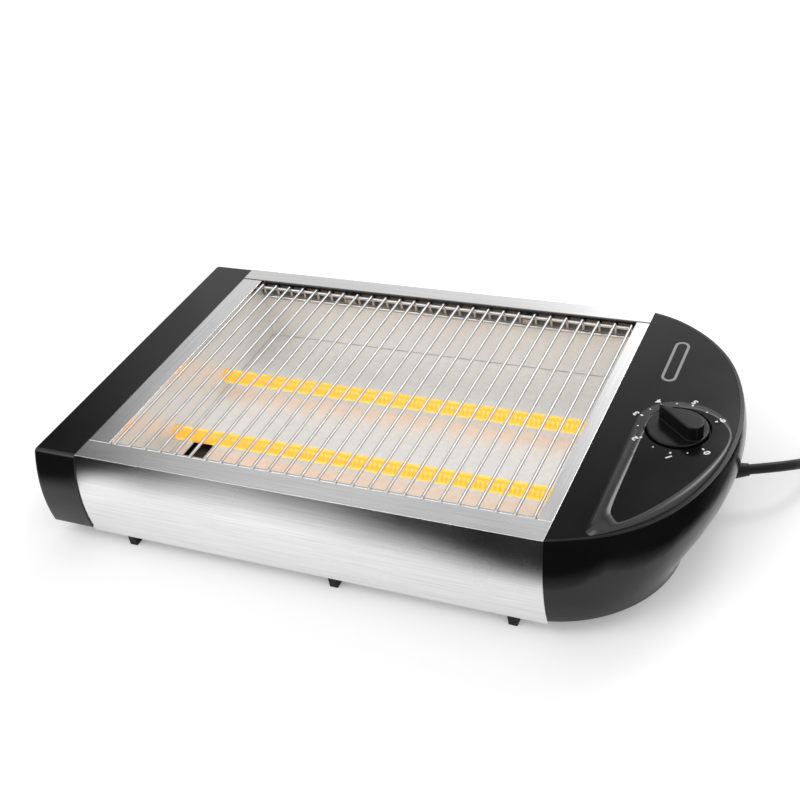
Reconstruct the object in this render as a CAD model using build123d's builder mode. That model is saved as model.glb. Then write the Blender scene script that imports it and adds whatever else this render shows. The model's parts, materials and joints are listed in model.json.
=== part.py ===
from build123d import *
import os
from math import asin, cos, hypot, pi, radians, sin, sqrt, tan

# Flat open-rack toaster: a wire rack lies over two quartz heating tubes in a shallow
# reflector, between a plastic end cap and a D-shaped control housing.
# Frame: +X along the body to the control end, +Y to the rear, +Z up. The origin is on
# the table under the middle of the body. All sizes are in millimetres.

os.makedirs("parts", exist_ok=True)

# Body
steel_length = 307.0
cap_length = 32.0
body_depth = 232.0
wall_height = 55.0
foot_height = 13.0
wall_bulge = 6.6
wall_tuck = 4.4
sheet = 0.8
plastic_wall = 2.8
cap_proud = 0.8
cap_end_round = 3.0
cap_edge_round = 3.5
fit_gap = 0.3

# Rims around the opening, measured inwards from the edges of the steel body
rim_front = 16.0
rim_rear = 13.5
rim_left = 15.5
rim_right = 8.7
rim_lip = 4.5
panel_flange = 12.0
panel_hem = 3.3

# D-shaped control housing at four heights: how far the outline reaches, the angle at
# which it leaves the steel body, and the angle where corner arc and nose arc meet
rim_reach = 77.5
rim_lead = 14.0
rim_joint = 24.0
shoulder_drop = 14.0
shoulder_reach = 80.0
shoulder_lead = 14.0
shoulder_joint = 27.0
flank_drop = 36.0
flank_reach = 75.5
flank_lead = 11.0
flank_joint = 25.0
sole_reach = 59.5
sole_lead = 10.0
sole_joint = 4.0

# Control cover with its scooped hollow and the well under the knob
cover_thickness = 2.6
cover_bead = 1.5
cover_strip = 16.5
cover_slope = 3.6
cover_fit = 0.2
ledge_inset = 4.0
ledge_depth = 9.0
scoop_pad = 2.4
scoop_middle_depth = 0.7
scoop_rear_rise = 0.96
scoop_nose_rise = 0.49
scoop_side = 24.2
scoop_front_inset = 14.0
scoop_tip_inset = 11.5
scoop_end = -3.0
scoop_edge = 2.2
scoop_bevel = 6.4
scoop_floor_inset = 36.0
scoop_floor_tip_inset = 27.0
scoop_floor_ring = 20.0
scoop_round = 0.6
well_radius = 20.1
well_depth = 2.4

# Timer and dial
dial_x = 43.5
knob_radius = 18.2
knob_skirt = 2.4
knob_lift = 0.4
knob_edge = 0.8
knob_wall = 1.8
grip_height = 9.3
grip_radius = 6.0
grip_angle = 154.0
shaft_diameter = 6.0
shaft_depth = 15.0
shaft_in_knob = 6.5
running_gap = 0.05
timer_length = 42.0
timer_width = 50.0
timer_depth = 27.0
timer_bush = 9.6
timer_screw = 2.8
timer_screw_length = 11.0
timer_screw_spacing = 28.0
bell_radius = 14.0
bell_wall = 1.2
bell_taper = 20.0

# Heating tubes, their elements and ceramic holders
tube_diameter = 9.7
tube_wall = 1.1
tube_spacing = 68.6
tube_drop = 39.6
element_diameter = 4.0
holder_diameter = 15.0
holder_length = 13.0
holder_seat = 7.0
left_holder_inset = 8.0
right_holder_inset = 10.0
pin_diameter = 2.2
pin_reach = 4.0
bracket_sheet = 1.0
bracket_margin = 4.0
bracket_foot = 10.0
shield_inset = 15.0
shield_width = 170.0
shield_height = 42.0
cutout_diameter = 16.0
cutout_length = 9.0

# Wire rack and the rests that carry it
wire_diameter = 2.0
rail_diameter = 2.4
wire_count = 26
rack_side_gap = 1.65
wire_bend = 2.4
weld_depth = 0.3
rack_drop = 0.5
rack_leg = 10.5
rack_end_gap = 0.6
rest_spread = 12
rest_width = 7.0
rest_height = 3.2

# Reflector, crumb tray, guides and base
tray_drop = 48.0
tray_lip = 4.0
tray_gap = 0.4
tray_side_gap = 0.6
tray_front_reach = 6.0
guide_shelf = 8.0
handle_height = 12.5
handle_overhang = 3.0
tray_slot_width = 16.0
tray_slot_length = 25.0
tray_slot_left = 11.0
tray_slot_front = 54.0
boss_diameter = 9.0
boss_height = 20.0
boss_sunk = 1.2
boss_rib = 1.8
boss_rib_reach = 9.0
cap_boss_inset = 16.0
housing_boss_inset = 12.0
housing_boss_side = 5.6
nose_boss_spacing = 100.0
nose_boss_inset = 8.2
screw_diameter = 3.0
screw_length = 9.0
screw_head = 6.5
screw_head_height = 1.8
foot_width = 6.0
foot_depth = 6.5
foot_setback = -1.2
foot_taper = 1.5
foot_peg = 4.0
foot_left_inset = 25.5
foot_middle_shift = 17.0
foot_right_inset = 22.5
vent_length = 26.0
vent_width = 3.2
vent_columns = 9
vent_margin = 37.4
vent_row_spacing = 120.0

# Terminal block in the housing
block_length = 30.0
block_width = 16.0
block_height = 14.0
block_x = 34.0
block_inset = 46.0
core_spacing = 10.0
core_bore = 5.6

# Mains lead: strain relief, cord, put-away coil and plug
cord_diameter = 6.3
exit_x = 66.0
exit_y = 20.0
exit_z = 22.0
exit_heading = 22.0
relief_outside = 15.0
relief_neck = 8.0
relief_root = 11.0
relief_tip = 7.6
relief_flange = 13.0
relief_flange_thickness = 2.0
relief_lock = 10.0
gland_diameter = 17.0
gland_length = 8.0
gland_wall = 2.0
cord_lift = 0.15
cord_lane = 117.1
coil_turns = 3.5
coil_middle = 35.0
coil_gap = 0.6
coil_tail = 26.0
coil_checks = 400
coil_step = 0.0014
plug_tail = 22.0
plug_tail_root = 13.0
plug_tail_tip = 8.0
plug_base_diameter = 40.0
plug_base_height = 18.0
plug_face_diameter = 35.5
plug_face_height = 17.0
plug_notch_width = 5.4
plug_notch_depth = 2.0
plug_pin_length = 19.0
plug_pin_diameter = 4.8
plug_pin_spacing = 19.0
plug_shank_diameter = 3.8
plug_pin_sunk = 6.0
plug_earth_offset = 10.0
plug_strip_width = 4.0

# Places that follow from the driving sizes
overall_length = cap_length + steel_length + shoulder_reach
cap_left = -overall_length / 2
steel_left = cap_left + cap_length
steel_right = steel_left + steel_length
half_depth = body_depth / 2
z_bottom = foot_height
z_top = foot_height + wall_height
z_plate = z_bottom + sheet
z_floor = z_plate + sheet
z_tube = z_top - tube_drop
z_tray = z_top - tray_drop
open_left = steel_left + rim_left
open_right = steel_right - rim_right
open_front = -half_depth + rim_front
open_rear = half_depth - rim_rear
open_middle = (open_left + open_right) / 2
open_length = open_right - open_left
wire_pitch = (open_length - 2 * rack_side_gap - wire_diameter) / (wire_count - 1)
box_left = open_left - 2 * sheet
box_right = open_right + 2 * sheet
box_front = open_front - 2 * sheet
box_rear = open_rear + 2 * sheet
tray_left = box_left - tray_side_gap - sheet
tray_right = box_right + tray_side_gap + sheet
vent_pitch = (open_length - 2 * vent_margin) / (vent_columns - 1)
plate_half = half_depth + wall_tuck - plastic_wall - fit_gap
foot_y = half_depth - foot_setback - foot_depth / 2

foot_places = (
    steel_left + foot_left_inset,
    (steel_left + steel_right) / 2 + foot_middle_shift,
    steel_right - foot_right_inset,
)
foot_spots = [(x, side * foot_y) for x in foot_places for side in (-1, 1)]

# Screw bosses stand against the walls of the two plastic ends
boss_sink = boss_diameter / 2 - boss_sunk
cap_boss_y = half_depth + wall_tuck + cap_proud - plastic_wall - boss_sink
cap_bosses = (
    (cap_left + cap_boss_inset, -cap_boss_y),
    (cap_left + cap_boss_inset, cap_boss_y),
    (cap_left + plastic_wall + boss_sink, 0),
)
housing_boss_y = half_depth - housing_boss_side
nose_boss_x = steel_right + sole_reach - nose_boss_inset
housing_bosses = (
    (steel_right + housing_boss_inset, -housing_boss_y),
    (steel_right + housing_boss_inset, housing_boss_y),
    (nose_boss_x, -nose_boss_spacing / 2),
    (nose_boss_x, nose_boss_spacing / 2),
)


def across(y):
    """Upright plane along X at depth y, seen from the front."""
    return Plane.XZ.offset(-y)


def circle_through(a, b, c):
    """Centre and radius of the circle through three points of a plane."""
    d = 2 * (a[0] * (b[1] - c[1]) + b[0] * (c[1] - a[1]) + c[0] * (a[1] - b[1]))
    sa, sb, sc = (p[0] ** 2 + p[1] ** 2 for p in (a, b, c))
    x = (sa * (b[1] - c[1]) + sb * (c[1] - a[1]) + sc * (a[1] - b[1])) / d
    y = (sa * (c[0] - b[0]) + sb * (a[0] - c[0]) + sc * (b[0] - a[0])) / d
    return x, y, hypot(a[0] - x, a[1] - y)


barrel_y, barrel_z, barrel_radius = circle_through(
    (0, z_top), (wall_bulge, (z_top + z_bottom) / 2), (wall_tuck, z_bottom)
)


def wall_reach(z):
    """Distance of the barrel-shaped wall from the middle plane at height z."""
    return half_depth + barrel_y + sqrt(barrel_radius**2 - (z - barrel_z) ** 2)


def wall_arc(side, grow=0.0, low=z_bottom, high=z_top):
    """The wall's arc from high to low, on the front (-1) or rear (+1) side."""
    heights = (high, (low + high) / 2, low)
    return ThreePointArc(*((side * (wall_reach(z) + grow), z) for z in heights))


def closed_section(grow, low, high):
    """Cross-section of the body between its two barrel-shaped walls."""
    with BuildSketch() as section:
        with BuildLine():
            rear = wall_arc(1, grow, low, high)
            front = wall_arc(-1, grow, low, high)
            Line(rear @ 0, front @ 0)
            Line(rear @ 1, front @ 1)
        make_face()
    return section.sketch


def folded_sheet(points, side, thickness=sheet):
    """Section of a folded sheet with one skin through the points, the other beside it."""
    with BuildSketch() as section:
        with BuildLine():
            Polyline(*points)
            offset(amount=thickness, side=side)
        make_face()
    return section.sketch


def d_arcs(half_width, lead, joint, reach):
    """Radius and centre of the corner arc, then of the nose arc, of a D outline."""
    start, meet = radians(90 - lead), radians(joint)
    a, b = sin(meet) - sin(start), -sin(meet)
    c, d = cos(meet) - cos(start), 1 - cos(meet)
    corner = (-half_width * d - reach * b) / (a * d - b * c)
    nose = (a * reach + half_width * c) / (a * d - b * c)
    corner_centre = (-corner * cos(start), half_width - corner * sin(start))
    return corner, corner_centre, nose, (reach - nose, 0)


def d_outline(half_width, lead, joint, reach):
    """D with its flat side on x = 0: two corner arcs and a nose arc out along +X."""
    corner, (corner_x, corner_y), nose, nose_centre = d_arcs(half_width, lead, joint, reach)
    turn = 90 - lead - joint
    with BuildSketch() as outline:
        with BuildLine():
            CenterArc((corner_x, corner_y), corner, 90 - lead, -turn)
            CenterArc(nose_centre, nose, joint, -2 * joint)
            CenterArc((corner_x, -corner_y), corner, -joint, -turn)
            Line((0, half_width), (0, -half_width))
        make_face()
    return outline.sketch


def rim_x(y, inset):
    """How far the housing's top edge, drawn in by inset, reaches out at depth y."""
    corner, (corner_x, corner_y), nose, (nose_x, _) = d_arcs(
        half_depth, rim_lead, rim_joint, rim_reach
    )
    if abs(y) < (nose - inset) * sin(radians(rim_joint)):
        return nose_x + sqrt((nose - inset) ** 2 - y**2)
    return corner_x + sqrt((corner - inset) ** 2 - (abs(y) - corner_y) ** 2)


def at_seam(z):
    """Level plane whose origin is on the seam between steel and control housing."""
    return Plane((steel_right, 0, z))


def housing_loft(inset):
    """Smooth D-shaped body through four outlines, drawn in by inset."""
    levels = (
        (wall_height, sole_lead, sole_joint, sole_reach),
        (flank_drop, flank_lead, flank_joint, flank_reach),
        (shoulder_drop, shoulder_lead, shoulder_joint, shoulder_reach),
        (0.0, rim_lead, rim_joint, rim_reach),
    )
    sections = []
    for drop, lead, joint, reach in levels:
        width = wall_reach(z_top - drop) - inset
        with BuildSketch(at_seam(z_top - drop)) as section:
            add(d_outline(width, lead, joint, reach - inset))
        sections.append(section.sketch.face())
    return loft(sections, mode=Mode.PRIVATE)


def cover_slab(inset, upper, lower):
    """Slab between two drops below the cover's top line, inside the drawn-in D."""
    end = rim_reach + shoulder_drop
    fall = (end - cover_strip) * tan(radians(cover_slope))
    line = ((0, 0), (cover_strip, 0), (end, -fall))
    points = [(steel_right + x, z_top + z - upper) for x, z in line]
    points += [(steel_right + x, z_top + z - lower) for x, z in reversed(line)]
    with BuildPart() as slab:
        with BuildSketch(at_seam(z_top - shoulder_drop)):
            add(d_outline(half_depth - inset, rim_lead, rim_joint, rim_reach - inset))
        extrude(amount=2 * shoulder_drop)
        with BuildSketch(across(-half_depth)):
            Polygon(*points, align=None)
        extrude(amount=-body_depth, mode=Mode.INTERSECT)
    return slab.part


def leaf(side, front, tip, ring, tip_edge, middle_edge, end_edge):
    """Leaf between the cover strip and the rim: it runs from the front round the dial."""
    with BuildSketch() as outline:
        with BuildLine():
            tip_end = (rim_x(tip, tip_edge) - dial_x, tip)
            far_end = (rim_x(scoop_end, end_edge) - dial_x, scoop_end)
            half_way = (tip + scoop_end) / 2
            middle = (rim_x(half_way, middle_edge) - dial_x, half_way)
            slant = sqrt(0.5)
            Line((-side, front), (-side, 0))
            ThreePointArc((-side, 0), (-side * slant, ring * slant), (0, ring))
            ThreePointArc((0, ring), (far_end[0] * slant, ring * slant), far_end)
            ThreePointArc(far_end, middle, tip_end)
            ThreePointArc(
                tip_end,
                ((tip_end[0] - side) / 2 - scoop_round, (tip + front) / 2 - scoop_round),
                (-side, front),
            )
        make_face()
    return outline.sketch


def build_panel(side):
    """Front or rear steel panel: rim lip, rim, barrel wall, bottom flange and hem."""
    rim_edge = -open_front if side < 0 else open_rear
    flange_edge = half_depth + wall_tuck - panel_flange
    with BuildPart() as panel:
        with BuildSketch(Plane.YZ.offset(steel_left)):
            with BuildLine():
                wall = wall_arc(side)
                Line((side * rim_edge, z_top), wall @ 0)
                Line(wall @ 1, (side * flange_edge, z_bottom))
                offset(amount=sheet, side=Side.RIGHT if side > 0 else Side.LEFT)
            make_face()
            with BuildLine():
                wall_arc(side, 0, z_bottom - panel_hem, z_bottom + sheet)
                offset(amount=sheet, side=Side.RIGHT if side > 0 else Side.LEFT)
            make_face()
        extrude(amount=steel_length)
        with BuildSketch(Plane.YZ.offset(open_left)):
            with Locations((side * (rim_edge + sheet / 2), z_top - rim_lip / 2)):
                Rectangle(sheet, rim_lip)
        extrude(amount=open_length)
        with BuildSketch(Plane.XY.offset(z_bottom)):
            with Locations(*((x, side * foot_y) for x in foot_places)):
                Circle(foot_peg / 2 + fit_gap / 2)
        extrude(amount=sheet, mode=Mode.SUBTRACT)
    return panel


def finish(builder, name):
    """Label a finished piece and write it out."""
    builder.part.label = name
    export_step(builder.part, f"parts/{name}.step")
    box = builder.part.bounding_box()
    solids = len(builder.part.solids())
    print(f"{name:20s} {solids:2d} solids  {box.min.Z:7.2f} to {box.max.Z:7.2f} high")


# Panel plane of the dial, with its origin on the sloping panel at the dial's centre
cover_grade = tan(radians(cover_slope))
dial = Plane(
    (steel_right + dial_x, 0, z_top - (dial_x - cover_strip) * cover_grade),
    x_dir=(cos(radians(cover_slope)), 0, -sin(radians(cover_slope))),
    z_dir=(sin(radians(cover_slope)), 0, cos(radians(cover_slope))),
)
timer_top = cover_thickness + scoop_pad

# Floor of the hollow, tilted so that it runs out behind the dial
scoop_floor = dial.offset(-scoop_middle_depth).rotated((scoop_rear_rise, -scoop_nose_rise, 0))
scoop_outline = leaf(
    scoop_side,
    scoop_front_inset - half_depth,
    scoop_tip_inset - half_depth,
    scoop_side,
    scoop_edge,
    scoop_edge,
    scoop_edge,
)
scoop_floor_outline = leaf(
    scoop_side - scoop_bevel,
    scoop_floor_inset - half_depth,
    scoop_floor_tip_inset - half_depth,
    scoop_floor_ring,
    scoop_edge + scoop_bevel,
    scoop_edge + scoop_bevel,
    scoop_edge + scoop_round,
)

# Seat of the cord gland, facing outwards along the cord
exit_turn = radians(exit_heading)
gland = Plane(
    (steel_right + exit_x, exit_y, exit_z),
    x_dir=(-sin(exit_turn), cos(exit_turn), 0),
    z_dir=(cos(exit_turn), sin(exit_turn), 0),
)

# Front steel panel
front_panel = build_panel(-1)
finish(front_panel, "front_panel")

# Rear steel panel, with the slot that the crumb tray slides through
with BuildPart() as rear_panel:
    add(build_panel(1).part)
    slot_low = z_tray - sheet - fit_gap
    slot_high = z_tray - sheet + tray_lip + fit_gap
    with BuildSketch(Plane.YZ.offset(tray_left - fit_gap)):
        with Locations((half_depth, (slot_low + slot_high) / 2)):
            Rectangle(rim_rear, slot_high - slot_low)
    extrude(amount=tray_right - tray_left + 2 * fit_gap, mode=Mode.SUBTRACT)
finish(rear_panel, "rear_panel")

# Side rims, from the opening's edge out to the ends of the steel body
for name, edge, outer, side in (
    ("left_rim", open_left, steel_left, Side.LEFT),
    ("right_rim", open_right, steel_right, Side.RIGHT),
):
    with BuildPart() as rim:
        with BuildSketch(across(open_front)):
            corners = ((edge, z_top - rim_lip), (edge, z_top), (outer, z_top))
            add(folded_sheet(corners, side))
        extrude(amount=open_front - open_rear)
    finish(rim, name)

# Left end cap: moulded shell, open below and towards the steel body
with BuildPart() as left_end_cap:
    with BuildSketch(Plane.YZ.offset(cap_left)):
        add(closed_section(cap_proud, z_bottom, z_top))
    extrude(amount=cap_length)
    long_edges = left_end_cap.edges().filter_by(Axis.X).group_by(Axis.Z)[-1]
    fillet(long_edges, cap_edge_round)
    end_face = left_end_cap.faces().sort_by(Axis.X)[0]
    fillet(end_face.edges(), cap_end_round)
    with BuildSketch(Plane.YZ.offset(cap_left + plastic_wall)):
        add(closed_section(cap_proud - plastic_wall, z_bottom, z_top - plastic_wall))
    extrude(amount=cap_length - plastic_wall, mode=Mode.SUBTRACT)
    with BuildSketch(Plane.XY.offset(z_floor)):
        with Locations(*cap_bosses):
            Circle(boss_diameter / 2)
    extrude(amount=boss_height)
    with BuildSketch(Plane.XY.offset(z_floor)):
        with Locations(*cap_bosses):
            Circle(screw_diameter / 2 + running_gap)
    extrude(amount=screw_length, mode=Mode.SUBTRACT)
finish(left_end_cap, "left_end_cap")

# Control housing: D-shaped moulded shell with a ledge for the cover and a cord gland.
# Its cavity leaves the ledge, the ribbed screw bosses and the block of the gland standing.
with BuildPart() as housing_cavity:
    add(housing_loft(plastic_wall))
    with BuildSketch(at_seam(z_top - ledge_depth)):
        Rectangle(2 * body_depth, 2 * body_depth)
        inner_reach = rim_reach - ledge_inset
        add(d_outline(half_depth - ledge_inset, rim_lead, rim_joint, inner_reach), mode=Mode.SUBTRACT)
    extrude(amount=2 * ledge_depth, mode=Mode.SUBTRACT)
    with BuildSketch(Plane.XY.offset(z_floor)):
        with Locations(*housing_bosses):
            Circle(boss_diameter / 2)
            Rectangle(boss_rib, 2 * boss_rib_reach)
            Rectangle(2 * boss_rib_reach, boss_rib)
    extrude(amount=boss_height, mode=Mode.SUBTRACT)
    with BuildSketch(gland.offset(-gland_length)):
        Circle(gland_diameter / 2 + gland_wall)
    extrude(amount=gland_length + shoulder_drop, mode=Mode.SUBTRACT)

with BuildPart() as control_housing:
    add(housing_loft(0))
    add(housing_cavity.part, mode=Mode.SUBTRACT)
    with BuildSketch(gland):
        Circle(gland_diameter / 2)
    extrude(amount=shoulder_drop, mode=Mode.SUBTRACT)
    with BuildSketch(gland.offset(-gland_length)):
        Circle(gland_diameter / 2)
    extrude(amount=gland_length)
    with BuildSketch(gland.offset(-gland_length)):
        Circle(relief_neck / 2 + running_gap)
    extrude(amount=gland_length, mode=Mode.SUBTRACT)
    with BuildSketch(Plane.XY.offset(z_floor)):
        with Locations(*housing_bosses):
            Circle(screw_diameter / 2 + running_gap)
    extrude(amount=screw_length, mode=Mode.SUBTRACT)
    add(cover_slab(cover_bead, -shoulder_drop, cover_thickness), mode=Mode.SUBTRACT)
    with BuildSketch(across(-half_depth)):
        beyond = shoulder_reach + cover_strip
        Polygon(
            (steel_right + cover_strip, z_top),
            (steel_right + beyond, z_top - shoulder_reach * cover_grade),
            (steel_right + beyond, z_top + shoulder_drop),
            (steel_right + cover_strip, z_top + shoulder_drop),
            align=None,
        )
    extrude(amount=-body_depth, mode=Mode.SUBTRACT)
finish(control_housing, "control_housing")

# Control cover: flat strip, sloping panel, scooped hollow, knob well and screw holes
with BuildPart() as control_cover:
    add(cover_slab(cover_bead + cover_fit, 0, cover_thickness))
    with BuildSketch(dial.offset(-cover_thickness / 2)):
        add(scoop_outline)
        offset(amount=-scoop_bevel / 3)
    extrude(amount=-cover_thickness / 2 - scoop_pad)
    with BuildSketch(dial) as scoop_top:
        add(scoop_outline)
    with BuildSketch(scoop_floor) as scoop_base:
        add(scoop_floor_outline)
    loft([scoop_top.sketch.face(), scoop_base.sketch.face()], ruled=True, mode=Mode.SUBTRACT)
    with BuildSketch(dial):
        Circle(well_radius)
    extrude(amount=-well_depth, mode=Mode.SUBTRACT)
    with BuildSketch(dial.offset(-well_depth)):
        Circle(timer_bush / 2 + fit_gap)
        with GridLocations(0, timer_screw_spacing, 1, 2):
            Circle(timer_screw / 2 + running_gap)
    extrude(amount=-timer_top, mode=Mode.SUBTRACT)
    with BuildSketch(dial.offset(-well_depth)):
        with GridLocations(0, timer_screw_spacing, 1, 2):
            Circle(timer_screw + running_gap)
    extrude(amount=-timer_screw / 2, taper=45, mode=Mode.SUBTRACT)
finish(control_cover, "control_cover")

# Base plate: steel sheet on the panels' bottom flanges, with air slots and screw holes
with BuildPart() as base_plate:
    with BuildSketch(Plane.XY.offset(z_plate)):
        plate_left = cap_left + plastic_wall + fit_gap
        with Locations(((plate_left + steel_right) / 2, 0)):
            Rectangle(steel_right - plate_left, 2 * plate_half)
        with Locations((steel_right, 0)):
            nose = sole_reach - plastic_wall - fit_gap
            add(d_outline(plate_half, sole_lead, sole_joint, nose))
        with Locations(*cap_bosses, *housing_bosses):
            Circle(screw_diameter / 2 + running_gap, mode=Mode.SUBTRACT)
        with Locations(*foot_spots):
            Circle(foot_peg / 2 + running_gap, mode=Mode.SUBTRACT)
        with Locations((open_middle, 0)):
            with GridLocations(vent_pitch, vent_row_spacing, vent_columns, 2):
                SlotOverall(vent_length, vent_width, rotation=90, mode=Mode.SUBTRACT)
    extrude(amount=sheet)
finish(base_plate, "base_plate")

# Feet: moulded blocks under the bottom flanges, each with a peg through both sheets
with BuildPart() as feet:
    with BuildSketch(Plane.XY.offset(z_bottom)):
        with Locations(*foot_spots):
            Rectangle(foot_width, foot_depth)
    extrude(amount=-foot_height, taper=foot_taper)
    with BuildSketch(Plane.XY.offset(z_bottom)):
        with Locations(*foot_spots):
            Circle(foot_peg / 2)
    extrude(amount=3 * sheet)
finish(feet, "feet")

# Screws that hold the base plate to the bosses of the two plastic ends
with BuildPart() as base_screws:
    with BuildSketch(Plane.XY.offset(z_plate)):
        with Locations(*cap_bosses, *housing_bosses):
            Circle(screw_head / 2)
    extrude(amount=-screw_head_height, taper=15)
    with BuildSketch(Plane.XY.offset(z_plate)):
        with Locations(*cap_bosses, *housing_bosses):
            Circle(screw_diameter / 2)
    extrude(amount=screw_length)
finish(base_screws, "base_screws")

# Reflector: four bright walls round the tubes, open above and below
with BuildPart() as reflector:
    with BuildSketch(Plane.XY.offset(z_tray + tray_gap)):
        with Locations(((box_left + box_right) / 2, (box_front + box_rear) / 2)):
            Rectangle(box_right - box_left, box_rear - box_front)
            Rectangle(
                box_right - box_left - 2 * sheet,
                box_rear - box_front - 2 * sheet,
                mode=Mode.SUBTRACT,
            )
    extrude(amount=z_top - sheet - z_tray - tray_gap)
    with BuildSketch(Plane.YZ.offset(box_left)):
        with Locations((0, z_tube)):
            with GridLocations(tube_spacing, 0, 2, 1):
                Circle(tube_diameter / 2 + fit_gap)
    extrude(amount=box_right - box_left, mode=Mode.SUBTRACT)
finish(reflector, "reflector")

# Crumb tray: slides out to the rear below the reflector, with its pull on the rear end
with BuildPart() as crumb_tray:
    tray_front = box_front - tray_front_reach
    pull_gap = wall_reach(z_tray) + fit_gap
    lip_top = z_tray - sheet + tray_lip
    with BuildSketch(across(tray_front)):
        corners = (
            (tray_left, lip_top),
            (tray_left, z_tray - sheet),
            (tray_right, z_tray - sheet),
            (tray_right, lip_top),
        )
        add(folded_sheet(corners, Side.LEFT))
    extrude(amount=tray_front - pull_gap - sheet / 2)
    with BuildSketch(Plane.YZ.offset(tray_left - handle_overhang)):
        add(closed_section(fit_gap + sheet, z_bottom + sheet, z_bottom + handle_height))
        add(closed_section(fit_gap, z_bottom, z_top), mode=Mode.SUBTRACT)
        with Locations((-half_depth, z_top)):
            Rectangle(body_depth, 2 * wall_height + foot_height, mode=Mode.SUBTRACT)
    extrude(amount=tray_right - tray_left + 2 * handle_overhang)
    with BuildSketch(Plane.XY.offset(z_tray - sheet)):
        slot_x = box_left + tray_slot_left + tray_slot_width / 2
        slot_y = -tray_slot_front + tray_slot_length / 2
        with Locations((slot_x, slot_y)):
            RectangleRounded(tray_slot_width, tray_slot_length, 2 * sheet)
    extrude(amount=sheet, mode=Mode.SUBTRACT)
finish(crumb_tray, "crumb_tray")

# Guides: two channels on the base plate that carry the crumb tray's edges
with BuildPart() as tray_guides:
    guide_top = z_tray - sheet - fit_gap
    for web, way, side in ((tray_left, 1, Side.RIGHT), (tray_right, -1, Side.LEFT)):
        with BuildSketch(across(tray_front)):
            corners = (
                (web + way * guide_shelf, z_floor),
                (web, z_floor),
                (web, guide_top),
                (web + way * guide_shelf, guide_top),
            )
            add(folded_sheet(corners, side))
        extrude(amount=tray_front - half_depth)
finish(tray_guides, "tray_guides")

# Wire rack: wires bent down at both ends and welded to two rails inside each row of legs
z_wire = z_top - rack_drop - wire_diameter / 2
leg_front = open_front + rack_end_gap + wire_diameter / 2
leg_rear = open_rear - rack_end_gap - wire_diameter / 2
rail_inset = (wire_diameter + rail_diameter) / 2 - weld_depth
z_rail = z_wire - rail_inset
z_low_rail = z_wire - rack_leg + rail_diameter / 2
rack_width = open_length - 2 * rack_side_gap
with BuildPart() as rack_wire:
    with BuildLine() as wire_path:
        FilletPolyline(
            (open_middle, leg_front, z_wire - rack_leg),
            (open_middle, leg_front, z_wire),
            (open_middle, leg_rear, z_wire),
            (open_middle, leg_rear, z_wire - rack_leg),
            radius=wire_bend,
        )
    with BuildSketch(Plane((open_middle, leg_front, z_wire - rack_leg))):
        Circle(wire_diameter / 2)
    sweep(path=wire_path.wires()[0])

with BuildPart() as toast_rack:
    with GridLocations(wire_pitch, 0, wire_count, 1):
        add(rack_wire.part)
    with BuildSketch(Plane.YZ.offset(open_middle - rack_width / 2)):
        for y in (leg_front + rail_inset, leg_rear - rail_inset):
            with Locations((y, z_rail), (y, z_low_rail)):
                Circle(rail_diameter / 2)
    extrude(amount=rack_width)
finish(toast_rack, "toast_rack")

# Rests: four lugs on the reflector that reach through the rack's legs, under its rails
with BuildPart() as rack_rests:
    rest_top = z_rail - rail_diameter / 2 - fit_gap
    rest_reach = rack_end_gap + wire_diameter / 2 + rail_inset + rail_diameter / 2
    for wall_y, way in ((open_front - sheet, 1), (open_rear + sheet, -1)):
        with BuildSketch(across(wall_y)):
            with Locations((open_middle, rest_top - rest_height / 2)):
                with GridLocations(rest_spread * wire_pitch, 0, 2, 1):
                    Rectangle(rest_width, rest_height)
        extrude(amount=-way * (sheet + rest_reach))
    upright = rack_rests.edges().filter_by(Axis.Z)
    fillet(upright.sort_by(lambda edge: abs(edge.center().Y))[:8], 2 * sheet)
finish(rack_rests, "rack_rests")

# Quartz tubes, and in each a heating element whose pins leave through the holders
tube_left = steel_left - left_holder_inset + holder_length - holder_seat
tube_right = steel_right + right_holder_inset - holder_length + holder_seat
pin_length = holder_length - holder_seat + pin_reach
for name, y in (("front", -tube_spacing / 2), ("rear", tube_spacing / 2)):
    with BuildPart() as quartz_tube:
        with BuildSketch(Plane.YZ.offset(tube_left)):
            with Locations((y, z_tube)):
                Circle(tube_diameter / 2)
                Circle(tube_diameter / 2 - tube_wall, mode=Mode.SUBTRACT)
        extrude(amount=tube_right - tube_left)
    finish(quartz_tube, f"{name}_quartz_tube")
    with BuildPart() as element:
        with BuildSketch(Plane.YZ.offset(tube_left)):
            with Locations((y, z_tube)):
                Circle(element_diameter / 2)
        extrude(amount=tube_right - tube_left)
        with BuildSketch(Plane.YZ.offset(tube_left - pin_length)):
            with Locations((y, z_tube)):
                Circle(pin_diameter / 2)
        extrude(amount=tube_right - tube_left + 2 * pin_length)
    finish(element, f"{name}_heating_element")

# Ceramic holders: a cup on each end of each tube
with BuildPart() as tube_holders:
    for end, way in ((tube_left, 1), (tube_right, -1)):
        with BuildSketch(Plane.YZ.offset(end - way * (holder_length - holder_seat))):
            with Locations((0, z_tube)):
                with GridLocations(tube_spacing, 0, 2, 1):
                    Circle(holder_diameter / 2)
                    Circle(pin_diameter / 2 + running_gap, mode=Mode.SUBTRACT)
        extrude(amount=way * holder_length)
        with BuildSketch(Plane.YZ.offset(end)):
            with Locations((0, z_tube)):
                with GridLocations(tube_spacing, 0, 2, 1):
                    Circle(tube_diameter / 2 + running_gap)
        extrude(amount=way * holder_seat, mode=Mode.SUBTRACT)
finish(tube_holders, "tube_holders")

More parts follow.
